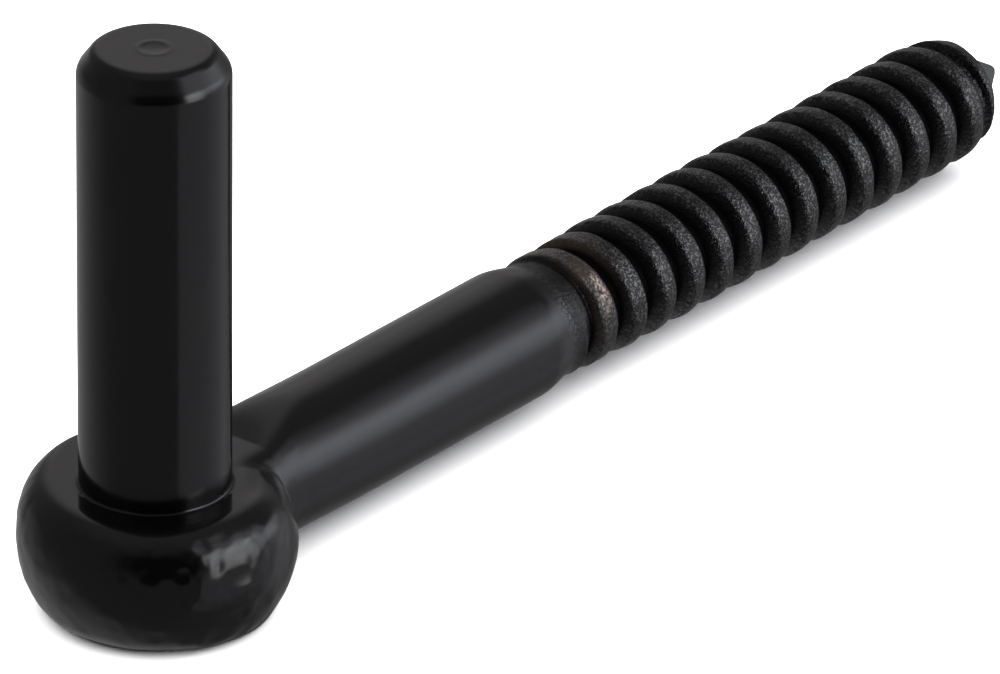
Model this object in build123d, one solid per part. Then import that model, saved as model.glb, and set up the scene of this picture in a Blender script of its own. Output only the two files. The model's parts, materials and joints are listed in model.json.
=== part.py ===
from build123d import *

import os
from math import asin, ceil, cos, pi, radians, sin, sqrt, tan

# Gate hinge pin of the screw-in kind: one black painted steel forging, in millimetres.
#
# An upright pin stands on the flat seat of a ball boss. A round arm leaves the boss along +Y,
# steps down at a short shoulder, and carries a coarse rounded wood-screw thread that ends in a
# blunt point. The origin is on the pin's axis, in the plane of the seat. +Z runs up the pin.

# Pin, measured up from the seat
PIN_DIA = 19.0
PIN_HEIGHT = 58.7
LEAD_HEIGHT = 2.7
LEAD_INSET = 2.0
LEAD_EDGE_EASE = 0.5
PIN_ROOT_FLARE = 0.5
CENTRE_MARK_DIA = 4.2
CENTRE_MARK_DEPTH = 0.35

# Ball boss
BALL_DIA = 35.0
BALL_TOWARDS_ARM = 0.5
SEAT_TO_ARM_AXIS = 7.1
ARM_AXIS_TO_BASE = 10.2
BASE_EDGE_RADIUS = 5.0
SEAT_EDGE_RADIUS = 4.6
EDGE_FLATS = 4
CROWN_SLOPE_START = 15.0
CROWN_SLOPE_ANGLE = 15.0

# Arm, measured along its axis from the pin's axis
NECK_DIA = 17.8
NECK_END = 30.0
SHANK_DIA = 17.5
SHANK_END = 68.8
SHOULDER_DIA = 15.4
SHOULDER_LENGTH = 7.0
SHOULDER_EASE_SHARE = 0.17
POINT_START = 162.6
POINT_NOSE_RADIUS = 1.0
POINT_HALF_ANGLE = 30.5

# Thread: a rounded ridge on a right-hand helix round a plain core
THREAD_DIA = 17.26
CORE_DIA = 13.8
PITCH = 6.04
FIRST_CREST_PAST_SHANK = 5.3
RIDGE_TIP_RADIUS = 2.2
RIDGE_FLANK_ANGLE = 33.0
TIP_FLATS = 3
ROOT_DIA = 9.6
RUN_IN_DIA = 16.6
RUN_IN_STEP = 2.2
RUN_IN_LENGTH = 8.0
RUN_IN_RISE = 6.0
RUN_OUT_START = 156.9
RUN_OUT_KNEE = 160.7
RUN_OUT_KNEE_DIA = 16.56
RUN_OUT_EDGE = 164.0
RUN_OUT_EDGE_DIA = 14.9
RUN_OUT_CHAMFER_ANGLE = 55.0

# How far a piece's hidden root reaches into the piece that carries it
ROOT_OVERLAP = 0.6

# The arm is drawn along its own Z, which points to +Y at the arm's height
ARM_FRAME = Plane(origin=(0, 0, -SEAT_TO_ARM_AXIS), x_dir=(1, 0, 0), z_dir=(0, 1, 0))


def outline_face(*edges):
    """The upright half section that these edges bound, drawn as (radius, height)."""
    closing = Line(edges[-1] @ 1, edges[0] @ 0)
    return Plane.XZ * make_face(edges + (closing,))


def turned(*edges):
    """The solid that such a half section swings through about Z."""
    return revolve(outline_face(*edges), Axis.Z)


def pin():
    """Upright pin: slight flare at its root, lead chamfer, eased top edge and centre mark."""
    radius = PIN_DIA / 2
    face = radius - LEAD_INSET
    ease_drop = LEAD_EDGE_EASE * LEAD_HEIGHT / LEAD_INSET
    side = Polyline(
        (0, -ROOT_OVERLAP),
        (radius + PIN_ROOT_FLARE, -ROOT_OVERLAP),
        (radius + PIN_ROOT_FLARE, 0),
        (radius, PIN_ROOT_FLARE),
        (radius, PIN_HEIGHT - LEAD_HEIGHT),
        (face + LEAD_EDGE_EASE, PIN_HEIGHT - ease_drop),
        (face - LEAD_EDGE_EASE, PIN_HEIGHT),
        (0, PIN_HEIGHT),
    )
    mark_half = CENTRE_MARK_DIA / 2
    bowl_radius = (mark_half**2 + CENTRE_MARK_DEPTH**2) / (2 * CENTRE_MARK_DEPTH)
    bowl = Pos(0, 0, PIN_HEIGHT + bowl_radius - CENTRE_MARK_DEPTH) * Sphere(bowl_radius)
    return turned(side) - bowl


def rounded_edge(height, radius, side):
    """Points down the rounded edge of the ball, cut by a flat at this height above its centre.

    The edge is drawn as equal flats. Side is 1 for the upper half of the ball and -1 for the lower.
    """
    ball = BALL_DIA / 2
    tilt = asin((height - radius) / (ball - radius))
    centre = sqrt((ball - radius) ** 2 - (height - radius) ** 2)
    angles = [pi / 2 + (tilt - pi / 2) * k / EDGE_FLATS for k in range(EDGE_FLATS + 1)]
    return [
        (centre + radius * cos(a), side * (height - radius + radius * sin(a))) for a in angles
    ]


def boss():
    """Ball on the arm's axis, flattened for the seat above and for the base below."""
    base = rounded_edge(ARM_AXIS_TO_BASE, BASE_EDGE_RADIUS, -1)
    seat = rounded_edge(SEAT_TO_ARM_AXIS, SEAT_EDGE_RADIUS, 1)[::-1]
    body = turned(
        Polyline((0, -ARM_AXIS_TO_BASE), *base),
        ThreePointArc(base[-1], (BALL_DIA / 2, 0), seat[0]),
        Polyline(*seat, (0, SEAT_TO_ARM_AXIS)),
    )
    return Pos(0, BALL_TOWARDS_ARM, -SEAT_TO_ARM_AXIS) * body


def crown_waste():
    """What the arm's crown lacks: it lies level with the seat, then slopes up to full height."""
    full_height = NECK_DIA
    rise_end = CROWN_SLOPE_START + full_height / tan(radians(CROWN_SLOPE_ANGLE))
    side = Plane.YZ * make_face(
        Polyline(
            (0, 0),
            (CROWN_SLOPE_START, 0),
            (rise_end, full_height),
            (0, full_height),
            close=True,
        )
    )
    return extrude(side, NECK_DIA, both=True)


def arm_blank():
    """Neck, shank, shoulder, thread core and blunt point, along Z from the pin's axis."""
    neck, shank, shoulder, core = NECK_DIA / 2, SHANK_DIA / 2, SHOULDER_DIA / 2, CORE_DIA / 2
    shoulder_end = SHANK_END + SHOULDER_LENGTH
    groove_end = shoulder_end + PITCH / 2
    slope = radians(POINT_HALF_ANGLE)
    nose_width = POINT_NOSE_RADIUS * cos(slope)
    nose_start = POINT_START + (core - nose_width) / tan(slope)
    nose_end = nose_start + POINT_NOSE_RADIUS * (1 - sin(slope))

    ease_drop = (shank - shoulder) * SHOULDER_EASE_SHARE
    ease_length = SHOULDER_LENGTH / 3
    outline = Polyline(
        (0, 0),
        (neck, 0),
        (shank, NECK_END),
        (shank, SHANK_END),
        (shank - ease_drop, SHANK_END + ease_length),
        (shoulder + ease_drop, shoulder_end - ease_length),
        (shoulder, shoulder_end),
        (core, groove_end),
        (core, POINT_START),
        (nose_width, nose_start),
    )
    nose = RadiusArc(outline @ 1, (0, nose_end), -POINT_NOSE_RADIUS)
    return turned(outline, nose)


def one_turn():
    """One full-height turn of the ridge: sloping flanks, and a tip rounded by equal flats.

    Its hidden root is straight-sided, and reaches in far enough to meet the cone of the point.
    """
    slope = radians(RIDGE_FLANK_ANGLE)
    flat_span = (pi - 2 * slope) / TIP_FLATS
    angles = [flat_span * (k - TIP_FLATS / 2) for k in range(TIP_FLATS + 1)]
    tip_centre = THREAD_DIA / 2 - RIDGE_TIP_RADIUS * cos(flat_span / 2)
    tip = [
        (tip_centre + RIDGE_TIP_RADIUS * cos(a), RIDGE_TIP_RADIUS * sin(a)) for a in angles
    ]
    flank_end = CORE_DIA / 2 - ROOT_OVERLAP
    half_root = tip[-1][1] + (tip[-1][0] - flank_end) * tan(slope)
    section = outline_face(
        Polyline(
            (ROOT_DIA / 2, -half_root),
            (flank_end, -half_root),
            *tip,
            (flank_end, half_root),
            (ROOT_DIA / 2, half_root),
        )
    )
    return sweep(section, path=Helix(PITCH, PITCH, THREAD_DIA / 2), is_frenet=True)


def thread():
    """Turn after turn of the ridge, cut low at the shoulder and away at the point."""
    turn = one_turn()
    first_crest = SHANK_END + FIRST_CREST_PAST_SHANK
    count = ceil((run_out_end() - first_crest) / PITCH)
    turns = [Pos(0, 0, first_crest + k * PITCH) * turn for k in range(count)]
    return Part() + turns - run_in_waste() - run_out_waste()


def clear_of_crests(radius, at, crest_at):
    """The point past the crests on the slope from this radius that meets them at crest_at."""
    crest = THREAD_DIA / 2
    clear = crest + ROOT_OVERLAP
    return clear, at + (crest_at - at) * (clear - radius) / (crest - radius)


def run_in_waste():
    """What the first turns lack: the ridge starts low at the shoulder and grows from there."""
    shoulder_end = SHANK_END + SHOULDER_LENGTH
    low = RUN_IN_DIA / 2
    low_end = shoulder_end + RUN_IN_LENGTH
    clear, clear_at = clear_of_crests(low, low_end, low_end + RUN_IN_RISE)
    return turned(
        Polyline(
            (clear, SHANK_END),
            (SHANK_DIA / 2, SHANK_END),
            (SHOULDER_DIA / 2, shoulder_end),
            (low, shoulder_end + RUN_IN_STEP),
            (low, low_end),
            (clear, clear_at),
        )
    )


def run_out_end():
    """Where the run-out's chamfer has cut through the whole ridge, root and all."""
    depth = (RUN_OUT_EDGE_DIA - ROOT_DIA) / 2 + ROOT_OVERLAP
    return RUN_OUT_EDGE + depth / tan(radians(RUN_OUT_CHAMFER_ANGLE))


def run_out_waste():
    """What the last turns lack: the crests fall away in two slopes, then a chamfer ends them."""
    knee = RUN_OUT_KNEE_DIA / 2
    clear, clear_at = clear_of_crests(knee, RUN_OUT_KNEE, RUN_OUT_START)
    inside = ROOT_DIA / 2 - ROOT_OVERLAP
    end = run_out_end()
    past_last_turn = end + 2 * PITCH
    return turned(
        Polyline(
            (clear, clear_at),
            (knee, RUN_OUT_KNEE),
            (RUN_OUT_EDGE_DIA / 2, RUN_OUT_EDGE),
            (inside, end),
            (inside, past_last_turn),
            (clear, past_last_turn),
        )
    )


def gate_hook():
    """The whole forging as one solid."""
    arm = ARM_FRAME * (arm_blank() + thread())
    return boss() + (arm - crown_waste()) + pin()


os.makedirs("parts", exist_ok=True)
export_step(gate_hook(), "parts/gate_hook.step")
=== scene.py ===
import json
import math

import bpy
import numpy as np
from mathutils import Matrix, Vector


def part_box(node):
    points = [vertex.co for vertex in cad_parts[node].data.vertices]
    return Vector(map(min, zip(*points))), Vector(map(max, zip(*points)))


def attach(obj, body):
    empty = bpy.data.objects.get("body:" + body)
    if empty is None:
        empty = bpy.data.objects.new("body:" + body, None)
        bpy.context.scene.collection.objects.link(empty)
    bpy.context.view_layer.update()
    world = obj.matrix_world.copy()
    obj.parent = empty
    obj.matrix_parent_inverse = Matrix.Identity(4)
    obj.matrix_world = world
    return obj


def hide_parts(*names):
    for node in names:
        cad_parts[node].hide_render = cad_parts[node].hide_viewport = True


# A screw-in gate hook: an upright hinge pin on a ball boss, a round arm and a coarse wood-screw
# thread, all one forging under glossy black enamel. The surface is worked out as the zero level
# of one function of position, so that every blend between the forms is part of the shape.
# The hook's lengths are in millimetres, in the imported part's frame, up to the finished mesh.
# Softness and blend values are the widths over which two surfaces round into each other.
# Azimuths are in degrees: 0 is the -Y side, 90 the +X side and 180 the arm's side.

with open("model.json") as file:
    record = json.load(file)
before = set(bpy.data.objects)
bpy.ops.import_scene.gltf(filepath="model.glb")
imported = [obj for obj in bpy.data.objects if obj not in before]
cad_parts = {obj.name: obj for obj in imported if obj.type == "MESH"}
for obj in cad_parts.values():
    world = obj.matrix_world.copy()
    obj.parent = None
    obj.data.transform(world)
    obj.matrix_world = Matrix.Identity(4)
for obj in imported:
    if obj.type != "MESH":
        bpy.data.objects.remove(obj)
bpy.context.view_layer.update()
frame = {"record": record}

MM = 0.001
NODE = "gate_hook"

# ---------------------------------------------------------------- sizes, from the frame
low, high = (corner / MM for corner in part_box(NODE))
mounts = {mount["name"]: mount for mount in frame["record"]["mounts"]}

PIN_R = mounts["hinge_pin"]["dims"]["r_mm"]
PIN_TOP = high.z
SHANK_R = mounts["plain_shank"]["dims"]["r_mm"]
ARM_Z = mounts["plain_shank"]["pos_m"][2] / MM
SHANK_START = mounts["plain_shank"]["pos_m"][1] / MM
SHANK_END = SHANK_START + mounts["plain_shank"]["dims"]["length_mm"]
BALL_R = (high.x - low.x) / 2
BALL_Y = low.y + BALL_R
BASE_Z = low.z
POINT_Y = high.y

# ---------------------------------------------------------------- details of the form
# Pin: the chamfer that leads a gate's eye on, the top's soft edge, and the root inside the boss.
LEAD_HEIGHT, LEAD_INSET, LEAD_SOFTNESS, TOP_SOFTNESS = 2.7, 2.0, 0.5, 0.7
PIN_ROOT_DEPTH, PIN_ROOT_BLEND = 3.0, 0.36
# Mark punched in the pin's top: a shallow bowl with a raised lip.
MARK_R, MARK_DEPTH, MARK_SOFTNESS = 1.45, 0.16, 0.25
MARK_LIP, MARK_LIP_WIDTH = 0.1, 0.4
# Boss: the rounding of the edges of base and seat, which is tight towards one azimuth only.
BASE_ROUND, BASE_TIGHT, BASE_TIGHT_AZIMUTH, BASE_TIGHT_SPREAD = 5.2, 1.6, 110, 70
SEAT_ROUND, SEAT_TIGHT, SEAT_TIGHT_AZIMUTH, SEAT_TIGHT_SPREAD = 4.6, 1.2, -108, 56
# Waist: a hollow in the ball on both sides of the arm. It deepens from the low height over the
# axis to the high one, and from the inner radius to the outer one.
WAIST_DEPTH, WAIST_AZIMUTH, WAIST_SPREAD = 1.1, 142, 45
WAIST_LOW, WAIST_HIGH, WAIST_INNER_R, WAIST_OUTER_R = -2, 5, 10, 14.5
# Arm: a neck lifted towards the boss, a ramp that its crown climbs from the seat to full height,
# and an axis that drops a little along the screw.
ARM_BLEND = 0.45
NECK_LIFT, NECK_LIFT_FULL, NECK_LIFT_END = 0.34, SHANK_START - 14.0, SHANK_START + 6
RAMP_START, RAMP_END, RAMP_SLOPE, RAMP_BLEND = 15.0, SHANK_START + 10, 0.27, 1.2
SCREW_DROP, SCREW_DROP_LENGTH = 0.06, 9
# Shoulder: the shank eases down to the shoulder's radius, then to the screw's core.
SHOULDER_R, SHOULDER_LENGTH, CORE_STEP_LENGTH = 7.7, 7.0, 3
# Thread: a right-hand ridge on a plain core, with a bulging crown and straight flanks.
CREST_R, CORE_R, PITCH = 8.62, 6.6, 6.04
FIRST_CREST = SHANK_END + 5.42
CREST_HALF_WIDTH, CREST_BULGE_R, CREST_EDGE_DROP = 1.52, 5.0, 0.36
FLANK_SLOPE, CREST_SOFTNESS, GROOVE_SOFTNESS = 1.6, 0.85, 0.5
# It rises out of the shoulder, and its first turns stay below full height.
THREAD_START, THREAD_OUT, THREAD_SUNK, THREAD_BLEND = SHANK_END + 2, SHANK_END + 4, 3, 0.35
FIRST_TURN_DROP, FIRST_TURN_START, FIRST_TURN_END = 0.7, SHANK_END + 5.5, SHANK_END + 9
LOW_TURNS_DROP, LOW_TURNS_START, LOW_TURNS_END = 0.36, SHANK_END + 14.5, SHANK_END + 21
LIMIT_SOFTNESS = 0.3
# Its crests fall away before the point, and a chamfer ends it.
RUN_OUT_START, RUN_OUT_EDGE, RUN_OUT_EDGE_R = 156.6, 164.1, 7.4
RUN_OUT_ANGLE, RUN_OUT_SOFTNESS = math.radians(55), 0.3
POINT_ANGLE, NOSE_R, POINT_SOFTNESS, POINT_BLEND = math.radians(30.5), 1.0, 0.6, 0.25
# Wear: one crest rubbed to rust, a stain round it, and bare steel past the thread. Each spot
# has its middle and reach along the arm, and its middle and spread in degrees round the arm.
WORN_CREST, BARE_START = SHANK_END + 10.6, RUN_OUT_EDGE + 1.9
PATCH_Y, PATCH_REACH, PATCH_ANGLE, PATCH_SPREAD = WORN_CREST + 0.4, 0.8, -32, 20
STAIN_Y, STAIN_REACH, STAIN_ANGLE, STAIN_SPREAD = WORN_CREST - 1, 5, -60, 75
STAIN_START, STAIN_FULL, STAIN_LOW_R = SHANK_END + 8, SHANK_END + 9.5, CORE_R + 0.4
# Rough enamel and painted shade: where the rough enamel starts on the screw, the radii where crests
# start and are full, where the grooves' painted shade ends, the last turn, the rim of the bare
# point, and the rim of the hook's underside, which is rougher and has painted shade.
ROUGH_START, ROUGH_FULL = SHANK_END + 2, SHANK_END + 5
CREST_START_R, CREST_FULL_R, GROOVE_END_R = CREST_R - 1.0, CREST_R - 0.3, CREST_R - 0.8
LAST_TURN_START, BARE_FULL = RUN_OUT_START + 2, BARE_START + 0.3
UNDER_FULL, UNDER_END = BASE_Z + 0.2, BASE_Z + 2.0
# Lumps: height, cell size and seed of each layer of noise, on the boss, the screw and all over.
SWELLS = ((0.16, 6.0, 3), (0.15, 2.9, 4), (0.1, 1.5, 7))
PITS = ((0.05, 1.5, 5), (0.08, 3.6, 8))
RIPPLES = ((0.006, 7.0, 6),)
# The swells fade out along the arm, towards the seat and towards the base, and away from one
# azimuth they sink to their least share. The pits fade out where the bare point starts.
SWELLS_FADE_START, SWELLS_FADE_END = 14, 24
SWELLS_FULL_BELOW, SWELLS_TOP, SWELLS_FULL_ABOVE = -1.5, -0.3, BASE_Z + 1.5
SWELLS_AZIMUTH, SWELLS_SPREAD, SWELLS_LEAST = 74, 50, 0.35
PITS_START, PITS_FULL, PITS_END_FADE = SHANK_END + 4, SHANK_END + 12, 1

# ---------------------------------------------------------------- details of the mesh
# Grid lines: each stretch as its start and its spacing, and last the end.
GRID_EDGE = BALL_R + 0.7
GRID_X = ((-GRID_EDGE, 0.47), GRID_EDGE)
GRID_Y = (
    (low.y - 0.6, 0.45),  # boss
    (BALL_Y + BALL_R + 3, 1.0),  # neck and shank
    (SHANK_END - 1, 0.4),  # shoulder, screw and point
    POINT_Y + 0.7,
)
GRID_Z = (
    (BASE_Z - 0.7, 0.44),  # boss and arm
    (-0.6, 0.16),  # seat and the pin's root
    (0.7, 0.4),
    (2.4, 1.0),  # the pin's wall
    (PIN_TOP - LEAD_HEIGHT - 1, 0.3),  # lead and top
    PIN_TOP + 0.6,
)
# Each point is pulled onto the surface in a few rounds, by a limited length in each.
PULL_ROUNDS, LONGEST_PULL, LEAST_SLOPE = 5, 0.3, 0.25


# ---------------------------------------------------------------- form functions
def soft_max(a, b, width):
    """The larger of two distances, with the corner between them rounded over this width."""
    share = np.clip(0.5 + 0.5 * (a - b) / width, 0, 1)
    return b + (a - b) * share + width * share * (1 - share)


def soft_min(a, b, width):
    """The smaller of two distances, with the corner between them filled over this width."""
    return -soft_max(-a, -b, width)


def ease(value, start, end):
    """0 before start, 1 after end, with a smooth rise between them."""
    t = np.clip((value - start) / (end - start), 0, 1)
    return t * t * (3 - 2 * t)


def pin_distance(x, y, z):
    """Upright pin with its lead chamfer, and a shallow punched mark in its top."""
    r = np.hypot(x, y)
    slope = math.hypot(LEAD_HEIGHT, LEAD_INSET)
    lead = ((r - PIN_R) * LEAD_HEIGHT + (z - PIN_TOP + LEAD_HEIGHT) * LEAD_INSET) / slope
    bowl_r = (MARK_R**2 + MARK_DEPTH**2) / (2 * MARK_DEPTH)
    bowl = np.hypot(r, z - PIN_TOP - bowl_r + MARK_DEPTH) - bowl_r
    lip = MARK_LIP * np.exp(-(((r - MARK_R) / MARK_LIP_WIDTH - 1) ** 2))
    wall = soft_max(r - PIN_R, lead, LEAD_SOFTNESS)
    body = soft_max(wall, z - PIN_TOP - lip, TOP_SOFTNESS)
    return np.maximum(soft_max(body, -bowl, MARK_SOFTNESS), -PIN_ROOT_DEPTH - z)


def rounded_cap(r, depth, flat, radius, rounding):
    """Distance to a ball cut by a flat at this depth below its centre, the edge rounded."""
    edge_depth = flat - rounding
    edge_r = np.sqrt((radius - rounding) ** 2 - edge_depth**2)
    ball = np.hypot(r, depth) - (radius - rounding)
    plane = depth - edge_depth
    past_edge = (r > edge_r) & (r * edge_depth < depth * edge_r)
    outside = np.where(past_edge, np.hypot(r - edge_r, depth - edge_depth), np.maximum(ball, plane))
    return outside - rounding


def near_azimuth(x, y, azimuth, spread):
    """1 at this azimuth round the ball, 0 beyond this many degrees to either side of it."""
    here = np.degrees(np.arctan2(x, BALL_Y - y))
    return 1 - ease(np.abs((here - azimuth + 180) % 360 - 180), 0, spread)


def boss_distance(x, y, z):
    """Ball on the arm's axis, flat for the seat above and for the base below."""
    r = np.hypot(x, y - BALL_Y)
    depth = ARM_Z - z
    tight = near_azimuth(x, y, BASE_TIGHT_AZIMUTH, BASE_TIGHT_SPREAD)
    base_round = BASE_ROUND - (BASE_ROUND - BASE_TIGHT) * tight
    base = rounded_cap(r, depth, ARM_Z - BASE_Z, BALL_R, base_round)
    tight = near_azimuth(x, y, SEAT_TIGHT_AZIMUTH, SEAT_TIGHT_SPREAD)
    seat_round = SEAT_ROUND - (SEAT_ROUND - SEAT_TIGHT) * tight
    seat = rounded_cap(r, -depth, -ARM_Z, BALL_R, seat_round)
    waist = WAIST_DEPTH * near_azimuth(np.abs(x), y, WAIST_AZIMUTH, WAIST_SPREAD)
    waist = waist * ease(-depth, WAIST_LOW, WAIST_HIGH) * ease(r, WAIST_INNER_R, WAIST_OUTER_R)
    return np.where(depth > 0, base, seat) + waist


def plain_radius(y):
    """Radius of the arm without its thread: shank, shoulder and the screw's core."""
    shoulder_end = SHANK_END + SHOULDER_LENGTH
    radius = SHANK_R - (SHANK_R - SHOULDER_R) * ease(y, SHANK_END, shoulder_end)
    core_step = ease(y, shoulder_end, shoulder_end + CORE_STEP_LENGTH)
    return radius - (SHOULDER_R - CORE_R) * core_step


def thread_radius(y, angle):
    """Radius of the threaded screw at this place along the arm and this angle round it."""
    turn = (y - FIRST_CREST) / PITCH - angle / (2 * math.pi)
    across = np.abs(turn - np.round(turn)) * PITCH
    crown = CREST_R - across**2 / (2 * CREST_BULGE_R)
    flank = CREST_R - CREST_EDGE_DROP - FLANK_SLOPE * (across - CREST_HALF_WIDTH)
    ridge = soft_min(crown, flank, CREST_SOFTNESS)
    start = CREST_R - LOW_TURNS_DROP + LOW_TURNS_DROP * ease(y, LOW_TURNS_START, LOW_TURNS_END)
    start = start - FIRST_TURN_DROP * (1 - ease(y, FIRST_TURN_START, FIRST_TURN_END))
    fade = np.maximum(y - RUN_OUT_START, 0) / (RUN_OUT_EDGE - RUN_OUT_START)
    run_out = CREST_R - (CREST_R - RUN_OUT_EDGE_R) * fade**2
    ridge = soft_min(ridge, np.minimum(start, run_out), LIMIT_SOFTNESS)
    return soft_max(ridge, CORE_R, GROOVE_SOFTNESS)


def point_distance(r, y):
    """The screw's core, with the cone and the rounded nose that end it."""
    past_nose = y - (POINT_Y - NOSE_R)
    cone = r * math.cos(POINT_ANGLE) + past_nose * math.sin(POINT_ANGLE) - NOSE_R
    core = soft_max(r - CORE_R, cone, POINT_SOFTNESS)
    nose = np.hypot(r, past_nose) - NOSE_R
    on_nose = past_nose * math.cos(POINT_ANGLE) > r * math.sin(POINT_ANGLE)
    return np.where(on_nose, nose, core)


def arm_distance(x, y, z):
    """Neck, shank, shoulder, screw and blunt point, its crown sloping down to the seat."""
    lift = NECK_LIFT * (1 - ease(y, NECK_LIFT_FULL, NECK_LIFT_END))
    lift = lift - SCREW_DROP * ease(y, SHANK_END, SHANK_END + SCREW_DROP_LENGTH)
    height = z - ARM_Z - lift
    r = np.hypot(x, height)
    plain = plain_radius(y)
    started = ease(y, THREAD_START, THREAD_OUT)
    thread = thread_radius(y, np.arctan2(-height, x)) - THREAD_SUNK * (1 - started)
    side = r - np.where(started > 0, soft_max(plain, thread, THREAD_BLEND), plain)
    cut = (r - RUN_OUT_EDGE_R) * math.cos(RUN_OUT_ANGLE)
    cut = cut + (y - RUN_OUT_EDGE) * math.sin(RUN_OUT_ANGLE)
    cut_side = soft_max(side, cut, RUN_OUT_SOFTNESS)
    ended = soft_min(point_distance(r, y), cut_side, POINT_BLEND)
    side = np.where(y < RUN_OUT_START, side, ended)
    climb = RAMP_SLOPE * np.maximum(y - RAMP_START, 0)
    ramped = soft_max(side, (z - climb) / math.hypot(1, RAMP_SLOPE), RAMP_BLEND)
    return np.maximum(np.where(y < RAMP_END, ramped, side), -y)


def hook_distance(x, y, z):
    """Distance-like function of the whole forging: below zero inside, zero on its surface."""
    body = soft_min(boss_distance(x, y, z), arm_distance(x, y, z), ARM_BLEND)
    return soft_min(body, pin_distance(x, y, z), PIN_ROOT_BLEND)


# ---------------------------------------------------------------- meshing
def grid_lines(stops):
    """Grid lines from stop to stop: each (start, spacing) with its own spacing, and the end."""
    lines = []
    for (start, spacing), following in zip(stops[:-1], stops[1:]):
        end = following[0] if isinstance(following, tuple) else following
        lines.append(np.linspace(start, end, int(math.ceil((end - start) / spacing)), False))
    return np.concatenate(lines + [[stops[-1]]])


def net_vertices(values, grid, cells):
    """One point in each cell that the surface crosses: the mean of its crossed edges."""
    total = np.zeros((len(cells), 3))
    count = np.zeros(len(cells))
    corner = [grid[axis][cells[:, axis]] for axis in range(3)]
    step = [grid[axis][cells[:, axis] + 1] - corner[axis] for axis in range(3)]
    for axis in range(3):
        others = [a for a in range(3) if a != axis]
        for side in range(4):
            offset = np.zeros(3, int)
            offset[others[0]], offset[others[1]] = side & 1, side >> 1
            ends = offset.copy()
            ends[axis] = 1
            first = values[tuple((cells + offset).T)]
            second = values[tuple((cells + ends).T)]
            crossed = (first < 0) != (second < 0)
            share = np.where(crossed, first / np.where(crossed, first - second, 1), 0)
            point = np.stack([corner[a] + step[a] * offset[a] for a in range(3)], 1)
            point[:, axis] += step[axis] * share
            total += point * crossed[:, None]
            count += crossed
    return total / count[:, None]


def net_faces(inside, index):
    """One quad round each grid edge that the surface crosses, facing outwards."""
    faces = []
    for axis in range(3):
        a, b = [(1, 2), (2, 0), (0, 1)][axis]
        first = np.moveaxis(inside, [axis, a, b], [0, 1, 2])
        ids = np.moveaxis(index, [axis, a, b], [0, 1, 2])
        start, end = first[:-1, 1:-1, 1:-1], first[1:, 1:-1, 1:-1]
        i, j, k = np.nonzero(start != end)
        quad = np.stack([ids[i, j, k], ids[i, j + 1, k], ids[i, j + 1, k + 1], ids[i, j, k + 1]], 1)
        leaving = start[i, j, k]
        quad[~leaving] = quad[~leaving][:, ::-1]
        faces.append(quad)
    return np.concatenate(faces)


def gradient(function, points, reach=0.01):
    """Slope of a function of position at each point, by central differences."""
    slopes = []
    for axis in range(3):
        shift = np.zeros(3)
        shift[axis] = reach
        ahead = function(*(points + shift).T)
        behind = function(*(points - shift).T)
        slopes.append((ahead - behind) / (2 * reach))
    return np.stack(slopes, 1)


def lattice_noise(x, y, z, cell, seed):
    """Smooth noise from -1 to 1 on a lattice of this cell size, the same in every run."""
    table = np.random.RandomState(seed).uniform(-1, 1, (64, 64, 64))
    lattice = [np.floor(v / cell).astype(int) for v in (x, y, z)]
    share = [v / cell - base for v, base in zip((x, y, z), lattice)]
    share = [t * t * t * (t * (6 * t - 15) + 10) for t in share]
    total = 0
    for corner in range(8):
        bits = [(corner >> axis) & 1 for axis in range(3)]
        weight = 1
        for bit, t in zip(bits, share):
            weight = weight * (t if bit else 1 - t)
        total = total + weight * table[tuple((b + bit) % 64 for b, bit in zip(lattice, bits))]
    return total


def layered_noise(x, y, z, layers):
    """Sum of layers of noise, each given by its height, cell size and seed."""
    return sum(height * lattice_noise(x, y, z, cell, seed) for height, cell, seed in layers)


def lumps(x, y, z):
    """Unevenness of forged steel under enamel: broad swells on the boss, fine ones on the screw."""
    below_seat = 1 - ease(z, SWELLS_FULL_BELOW, SWELLS_TOP)
    above_base = ease(z, BASE_Z, SWELLS_FULL_ABOVE)
    on_boss = (1 - ease(y, SWELLS_FADE_START, SWELLS_FADE_END)) * below_seat * above_base
    facing = near_azimuth(x, y, SWELLS_AZIMUTH, SWELLS_SPREAD)
    on_boss = on_boss * (SWELLS_LEAST + (1 - SWELLS_LEAST) * facing)
    on_screw = ease(y, PITS_START, PITS_FULL)
    on_screw = on_screw * (1 - ease(y, BARE_START - PITS_END_FADE, BARE_START + PITS_END_FADE))
    swell = layered_noise(x, y, z, SWELLS)
    pitting = layered_noise(x, y, z, PITS)
    return on_boss * swell + on_screw * pitting + layered_noise(x, y, z, RIPPLES)


def lumpy_distance(x, y, z):
    """The forging's distance with its lumps laid on."""
    return hook_distance(x, y, z) - lumps(x, y, z)


def hook_mesh():
    """The whole forging as one closed mesh of quads, with the normals of the true surface."""
    grid = [grid_lines(stops) for stops in (GRID_X, GRID_Y, GRID_Z)]
    x, y, z = np.meshgrid(*grid, indexing="ij", sparse=True)
    values = hook_distance(x, y, z)
    inside = values < 0
    corners = sum(
        inside[i : i - 1 or None, j : j - 1 or None, k : k - 1 or None].astype(np.int8)
        for i in (0, 1)
        for j in (0, 1)
        for k in (0, 1)
    )
    crossed = (corners > 0) & (corners < 8)
    cells = np.argwhere(crossed)
    index = np.full(crossed.shape, -1)
    index[crossed] = np.arange(len(cells))
    points = net_vertices(values, grid, cells)
    for _ in range(PULL_ROUNDS):
        slope = gradient(lumpy_distance, points)
        away = lumpy_distance(*points.T) / np.maximum((slope**2).sum(1), LEAST_SLOPE)
        points = points - np.clip(away, -LONGEST_PULL, LONGEST_PULL)[:, None] * slope
    normals = gradient(lumpy_distance, points)
    normals /= np.linalg.norm(normals, axis=1, keepdims=True)
    return points, normals, net_faces(inside, index)


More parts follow.
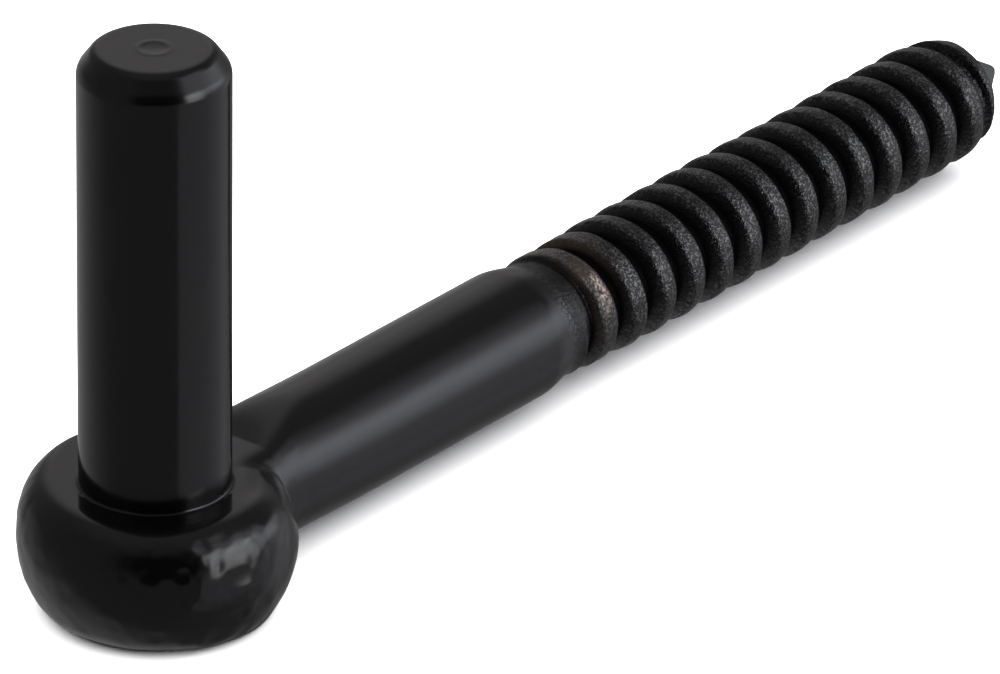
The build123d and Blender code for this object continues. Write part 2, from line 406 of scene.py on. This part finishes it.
points, normals, faces = hook_mesh()
mesh = bpy.data.meshes.new("gate_hook_forging")
mesh.from_pydata((points * MM).tolist(), [], faces.tolist())
mesh.polygons.foreach_set("use_smooth", np.ones(len(faces), bool))
mesh.normals_split_custom_set_from_vertices(normals.tolist())
hook = bpy.data.objects.new("gate_hook_forging", mesh)
bpy.context.scene.collection.objects.link(hook)
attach(hook, "root")
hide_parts(NODE)


# ---------------------------------------------------------------- materials
# Colours, with the clean enamel's two blacks first.
BLACK, SOFT_BLACK = (0.0003, 0.0003, 0.0005, 1), (0.0008, 0.0007, 0.0007, 1)
TARNISH, BARE_STEEL = (0.012, 0.0088, 0.006, 1), (0.09, 0.102, 0.096, 1)
DARK_RUST, PALE_RUST = (0.022, 0.016, 0.012, 1), (0.17, 0.133, 0.113, 1)
# Noise of the enamel: cells per metre, detail and roughness.
CLOUDS, GRAIN, SPECKLE, FINE_WAVES = (90, 3), (900, 4, 0.65), (2700, 3, 0.7), (350, 2)
# Roughness of the clean enamel, what the screw's grain adds to it, and the roughness of the
# underside, the worn patch and the bare point, which is metallic as well.
LEAST_ROUGH, MOST_ROUGH, GRAIN_LESS, GRAIN_MORE = 0.09, 0.17, -0.03, 0.05
UNDER_ROUGH, CHIPS_ROUGH, BARE_ROUGH, BARE_METAL = 0.5, 0.6, 0.5, 0.85
# Specular level: clean, lowered as painted shade in the grooves and at the underside's rim, what
# flecks add, what the screw loses, and the least.
SHINE, PAINTED_SHADE_SHINE, FLECK_SHINE, SCREW_LOSS, LEAST_SHINE = 0.5, 0.15, 1.4, 0.17, 0.02
# Heights of the relief, in millimetres.
WAVES_HEIGHT, GRAIN_HEIGHT, SPECKLE_HEIGHT, CHIPS_HEIGHT = 0.02, 0.19, 0.12, 0.05


class Nodes:
    """Short names for the few node kinds that the materials and the sky are made of."""

    def __init__(self, tree):
        self.tree = tree
        self.coordinates = tree.nodes.new("ShaderNodeTexCoord")

    def new(self, kind, **inputs):
        """A node of this kind, with sockets fed by name."""
        node = self.tree.nodes.new(kind)
        for name, value in inputs.items():
            self.feed(node.inputs[name.replace("_", " ")], value)
        return node

    def feed(self, socket, value):
        """Link another node's output to the socket, or set the socket to a plain value."""
        if isinstance(value, bpy.types.NodeSocket):
            self.tree.links.new(value, socket)
        else:
            socket.default_value = value

    def math(self, operation, *values):
        """One operation on two values."""
        node = self.tree.nodes.new("ShaderNodeMath")
        node.operation = operation
        for socket, value in zip(node.inputs, values):
            self.feed(socket, value)
        return node.outputs[0]

    def times(self, first, second):
        """Product of two values."""
        return self.math("MULTIPLY", first, second)

    def plus(self, first, second):
        """Sum of two values."""
        return self.math("ADD", first, second)

    def larger(self, first, second):
        """The larger of two values."""
        return self.math("MAXIMUM", first, second)

    def ramp(self, value, start, end, low=0.0, high=1.0):
        """Smooth step from low at start to high at end."""
        node = self.tree.nodes.new("ShaderNodeMapRange")
        node.interpolation_type = "SMOOTHSTEP"
        names = ("Value", "From Min", "From Max", "To Min", "To Max")
        for name, number in zip(names, (value, start, end, low, high)):
            self.feed(node.inputs[name], number)
        return node.outputs["Result"]

    def noise(self, per_metre, detail=2.0, roughness=0.5):
        """Noise fixed to the object, from 0 to 1."""
        node = self.new("ShaderNodeTexNoise", Scale=per_metre, Detail=detail, Roughness=roughness)
        self.tree.links.new(self.coordinates.outputs["Object"], node.inputs["Vector"])
        return node.outputs["Fac"]

    def attribute(self, name):
        """One of the masks that mark_surface writes."""
        node = self.tree.nodes.new("ShaderNodeAttribute")
        node.attribute_name = name
        return node.outputs["Fac"]

    def blend(self, factor, first, second):
        """Colour from the first to the second, by this factor."""
        node = self.tree.nodes.new("ShaderNodeMix")
        node.data_type = "RGBA"
        self.feed(node.inputs["Factor"], factor)
        self.feed(node.inputs["A"], first)
        self.feed(node.inputs["B"], second)
        return node.outputs["Result"]


def add_mask(mesh, name, values):
    """Write one value per point, for the material to read."""
    mask = mesh.attributes.new(name, "FLOAT", "POINT")
    mask.data.foreach_set("value", np.ascontiguousarray(values, dtype=np.float32))


def mark_surface(mesh, points):
    """Where the enamel is rough on the screw, worn to rust or bare, and where painted shade darkens
    grooves and underside.
    """
    x, y, z = points.T
    height = z - ARM_Z
    r = np.hypot(x, height)
    angle = np.degrees(np.arctan2(-height, x))
    screw = ease(y, ROUGH_START, ROUGH_FULL)
    last_turn = ease(y, LAST_TURN_START, RUN_OUT_EDGE)
    on_crest = np.maximum(ease(r, CREST_START_R, CREST_FULL_R), last_turn)
    in_groove = (1 - ease(r, CORE_R, GROOVE_END_R)) * (1 - last_turn)
    patch_along, patch_round = (y - PATCH_Y) / PATCH_REACH, (angle - PATCH_ANGLE) / PATCH_SPREAD
    stain_along, stain_round = (y - STAIN_Y) / STAIN_REACH, (angle - STAIN_ANGLE) / STAIN_SPREAD
    stain = np.exp(-(stain_along**4) - stain_round**4) * ease(y, STAIN_START, STAIN_FULL)
    add_mask(mesh, "screw", screw)
    add_mask(mesh, "crest", screw * on_crest)
    add_mask(mesh, "worn", np.exp(-(patch_along**2) - patch_round**4))
    add_mask(mesh, "stain", stain * ease(r, STAIN_LOW_R, GROOVE_END_R))
    # Painted shade: this mask lowers the enamel's shine in the grooves, so that they look darker.
    add_mask(mesh, "groove_shade", screw * in_groove)
    add_mask(mesh, "bare", ease(y, BARE_START, BARE_FULL))
    # Painted shade: the underside's rim is rougher, and its lowered shine darkens it near the
    # floor.
    add_mask(mesh, "under", 1 - ease(z, UNDER_FULL, UNDER_END))


def enamel():
    """Glossy black enamel over forged steel, speckled on the screw, worn off in two places."""
    material = bpy.data.materials.new("black_enamel")
    material.use_nodes = True
    shader = material.node_tree.nodes["Principled BSDF"]
    nodes = Nodes(material.node_tree)
    screw, crest, groove_shade = (nodes.attribute(name) for name in ("screw", "crest", "groove_shade"))
    worn, stain = (nodes.attribute(name) for name in ("worn", "stain"))
    bare, under = (nodes.attribute(name) for name in ("bare", "under"))

    cloudy, grain, speckle = (nodes.noise(*size) for size in (CLOUDS, GRAIN, SPECKLE))
    chips = nodes.times(nodes.ramp(worn, 0.1, 0.8), nodes.ramp(grain, 0.4, 0.54))
    flecks = nodes.times(crest, nodes.ramp(speckle, 0.5, 0.6))
    tarnish = nodes.times(stain, nodes.ramp(cloudy, 0.35, 0.6))
    rust = nodes.blend(nodes.ramp(speckle, 0.35, 0.65), DARK_RUST, PALE_RUST)
    colour = nodes.blend(cloudy, BLACK, SOFT_BLACK)
    colour = nodes.blend(tarnish, colour, TARNISH)
    colour = nodes.blend(chips, colour, rust)
    colour = nodes.blend(bare, colour, BARE_STEEL)
    nodes.feed(shader.inputs["Base Color"], colour)

    rough = nodes.ramp(cloudy, 0.3, 0.7, LEAST_ROUGH, MOST_ROUGH)
    grainy = nodes.ramp(grain, 0.35, 0.65, GRAIN_LESS, GRAIN_MORE)
    rough = nodes.plus(rough, nodes.times(screw, grainy))
    for where, level in ((under, UNDER_ROUGH), (chips, CHIPS_ROUGH), (bare, BARE_ROUGH)):
        rough = nodes.larger(rough, nodes.times(where, level))
    nodes.feed(shader.inputs["Roughness"], rough)
    nodes.feed(shader.inputs["Metallic"], nodes.times(bare, BARE_METAL))

    # Painted shade: the shine drops in the grooves and at the underside's rim, to darken them.
    shine = nodes.ramp(nodes.larger(under, groove_shade), 0, 1, SHINE, PAINTED_SHADE_SHINE)
    shine = nodes.plus(shine, nodes.times(flecks, FLECK_SHINE))
    shine = nodes.math("SUBTRACT", shine, nodes.times(screw, SCREW_LOSS))
    nodes.feed(shader.inputs["Specular IOR Level"], nodes.larger(shine, LEAST_SHINE))

    waves = nodes.times(nodes.noise(*FINE_WAVES), WAVES_HEIGHT)
    tooth = nodes.plus(nodes.times(grain, GRAIN_HEIGHT), nodes.times(speckle, SPECKLE_HEIGHT))
    tooth = nodes.plus(nodes.times(tooth, screw), nodes.times(chips, CHIPS_HEIGHT))
    relief = nodes.plus(waves, tooth)
    bump = nodes.new("ShaderNodeBump", Height=relief, Strength=1.0, Distance=MM)
    nodes.feed(shader.inputs["Normal"], bump.outputs["Normal"])
    return material


mark_surface(mesh, points)
mesh.materials.append(enamel())


# ---------------------------------------------------------------- stage, light and camera
# The floor lies a gap below the base, so that the two faces don't flicker. The gap is in
# millimetres, and half of the floor's width in metres.
FLOOR_GAP, FLOOR_HALF, FLOOR_COLOUR, FLOOR_ROUGH = 0.05, 12.0, (0.9, 0.9, 0.9, 1), 0.9
floor_z = (BASE_Z - FLOOR_GAP) * MM
floor_corners = ((-1, -1), (1, -1), (1, 1), (-1, 1))
floor_mesh = bpy.data.meshes.new("floor")
floor_mesh.from_pydata(
    [(x * FLOOR_HALF, y * FLOOR_HALF, floor_z) for x, y in floor_corners], [], [(0, 1, 2, 3)]
)
floor = bpy.data.objects.new("floor", floor_mesh)
bpy.context.scene.collection.objects.link(floor)
pale_floor = bpy.data.materials.new("pale_floor")
pale_floor.use_nodes = True
floor_shader = pale_floor.node_tree.nodes["Principled BSDF"]
floor_shader.inputs["Base Color"].default_value = FLOOR_COLOUR
floor_shader.inputs["Roughness"].default_value = FLOOR_ROUGH
floor_shader.inputs["Specular IOR Level"].default_value = 0.0
floor_mesh.materials.append(pale_floor)
floor.visible_glossy = False

# The room's own colour and level, and its level where the screen darkens it.
ROOM_COLOUR, ROOM_LEVEL, SCREEN_LEVEL = (1, 0.99, 1.02, 1), 0.172, 0.018


def towards(azimuth, elevation):
    """Direction at this azimuth and elevation, in degrees."""
    a, e = math.radians(azimuth), math.radians(elevation)
    return Vector((math.sin(a) * math.cos(e), -math.cos(a) * math.cos(e), math.sin(e)))


def along(nodes, azimuth, elevation=0):
    """How far each direction in the sky leans towards this one, from -1 to 1."""
    node = nodes.tree.nodes.new("ShaderNodeVectorMath")
    node.operation = "DOT_PRODUCT"
    nodes.tree.links.new(nodes.coordinates.outputs["Generated"], node.inputs[0])
    node.inputs[1].default_value = towards(azimuth, elevation)
    return node.outputs["Value"]


def card(nodes, left, right, low, high):
    """A soft-edged card of light: each edge runs from its first number, dark, to its second, lit.

    Left and right are azimuths in degrees, and low and high the sines of elevations.
    """
    height = along(nodes, 0, 90)
    sides = []
    for (dark, lit), turn in ((left, 90), (right, -90)):
        edge = along(nodes, (dark + lit) / 2 + turn)
        half = abs(math.sin(math.radians(lit - dark) / 2))
        sides.append(nodes.ramp(edge, -half, half))
    below_top = nodes.ramp(height, high[1], high[0], 1, 0)
    upright = nodes.times(nodes.ramp(height, *low), below_top)
    return nodes.times(nodes.times(*sides), upright)


def glow(nodes, azimuth, elevation, reach):
    """A round glow about a direction, fading to nothing this many degrees away."""
    return nodes.ramp(along(nodes, azimuth, elevation), math.cos(math.radians(reach)), 1)


def studio():
    """Dim soft room: bright cards at the right, pale walls behind, and a black screen in front."""
    world = bpy.data.worlds.new("studio")
    world.use_nodes = True
    nodes = Nodes(world.node_tree)
    # Each light as its shape, its strength and its tint.
    lights = (
        (card(nodes, (82, 88), (178, 146), (-0.26, 0.17), (0.52, 0.2)), 1.45, (0.94, 0.98, 1.06)),
        (card(nodes, (84, 93), (124, 102), (-0.35, -0.2), (0.6, 0.3)), 1.9, (1.0, 0.99, 1.0)),
        (card(nodes, (84, 98), (160, 132), (0.1, 0.4), (0.9, 0.66)), 0.85, (0.97, 0.98, 1.05)),
        (card(nodes, (118, 140), (192, 172), (-0.5, -0.2), (0.62, 0.3)), 0.2, (1.0, 0.97, 1.0)),
        (card(nodes, (73, 78), (185, 160), (-0.78, -0.5), (0.0, -0.3)), 0.25, (0.98, 0.95, 1.03)),
        (card(nodes, (198, 215), (246, 228), (-0.05, 0.35), (0.95, 0.75)), 0.3, (1.0, 0.94, 0.97)),
        (card(nodes, (208, 230), (310, 240), (-0.75, -0.4), (0.22, -0.08)), 0.22, (1.0, 0.99, 1.0)),
        (glow(nodes, 290, -60, 45), 0.3, (1.0, 0.98, 1.0)),
        (glow(nodes, 0, 90, 45), 0.08, (1.0, 0.98, 0.98)),
    )
    screen = card(nodes, (-16, 32), (90, 68), (-0.38, -0.12), (1.0, 0.4))
    background = world.node_tree.nodes["Background"]
    background.inputs["Color"].default_value = ROOM_COLOUR
    nodes.feed(background.inputs["Strength"], nodes.ramp(screen, 0, 1, ROOM_LEVEL, SCREEN_LEVEL))
    last = background.outputs[0]
    for shape, strength, tint in lights:
        lit = nodes.new("ShaderNodeBackground", Color=(*tint, 1))
        nodes.feed(lit.inputs["Strength"], nodes.times(shape, strength))
        total = nodes.tree.nodes.new("ShaderNodeAddShader")
        nodes.feed(total.inputs[0], last)
        nodes.feed(total.inputs[1], lit.outputs[0])
        last = total.outputs[0]
    nodes.feed(world.node_tree.nodes["World Output"].inputs["Surface"], last)
    return world


bpy.context.scene.world = studio()
bpy.context.scene.view_settings.view_transform = "Standard"

# A wide lamp over the floor, in metres and watts.
OVERHEAD_SIZE, OVERHEAD_HEIGHT, OVERHEAD_POWER = 5.0, 1.8, 330.0
overhead_light = bpy.data.lights.new("overhead", "AREA")
overhead_light.size = OVERHEAD_SIZE
overhead_light.energy = OVERHEAD_POWER
overhead = bpy.data.objects.new("overhead", overhead_light)
overhead.location = (0, 0, OVERHEAD_HEIGHT)
overhead.visible_glossy = False
overhead.visible_camera = False
bpy.context.scene.collection.objects.link(overhead)

# The camera's place: back from where the pin's axis meets the arm's, to the side and up.
# Angles are in degrees, lens and sensor in millimetres, and the rest in metres.
CAMERA_AZIMUTH, CAMERA_ELEVATION, CAMERA_ROLL = 38.42, 26.832, 0.768
CAMERA_DISTANCE, LENS, SENSOR = 1.3654, 398.9, 36.0
SIDE_STEP, RISE = 0.04248, 0.02387

back = towards(CAMERA_AZIMUTH, CAMERA_ELEVATION)
level = Vector((math.cos(math.radians(CAMERA_AZIMUTH)), math.sin(math.radians(CAMERA_AZIMUTH)), 0))
above = back.cross(level)
roll = math.radians(CAMERA_ROLL)
right = level * math.cos(roll) + above * math.sin(roll)
up = above * math.cos(roll) - level * math.sin(roll)
camera_data = bpy.data.cameras.new("camera")
camera_data.lens = LENS
camera_data.sensor_width = SENSOR
camera = bpy.data.objects.new("camera", camera_data)
place = Vector((0, 0, ARM_Z * MM)) + right * SIDE_STEP + up * RISE + back * CAMERA_DISTANCE
camera.matrix_world = Matrix.Translation(place) @ Matrix((right, up, back)).transposed().to_4x4()
bpy.context.scene.collection.objects.link(camera)
bpy.context.scene.camera = camera
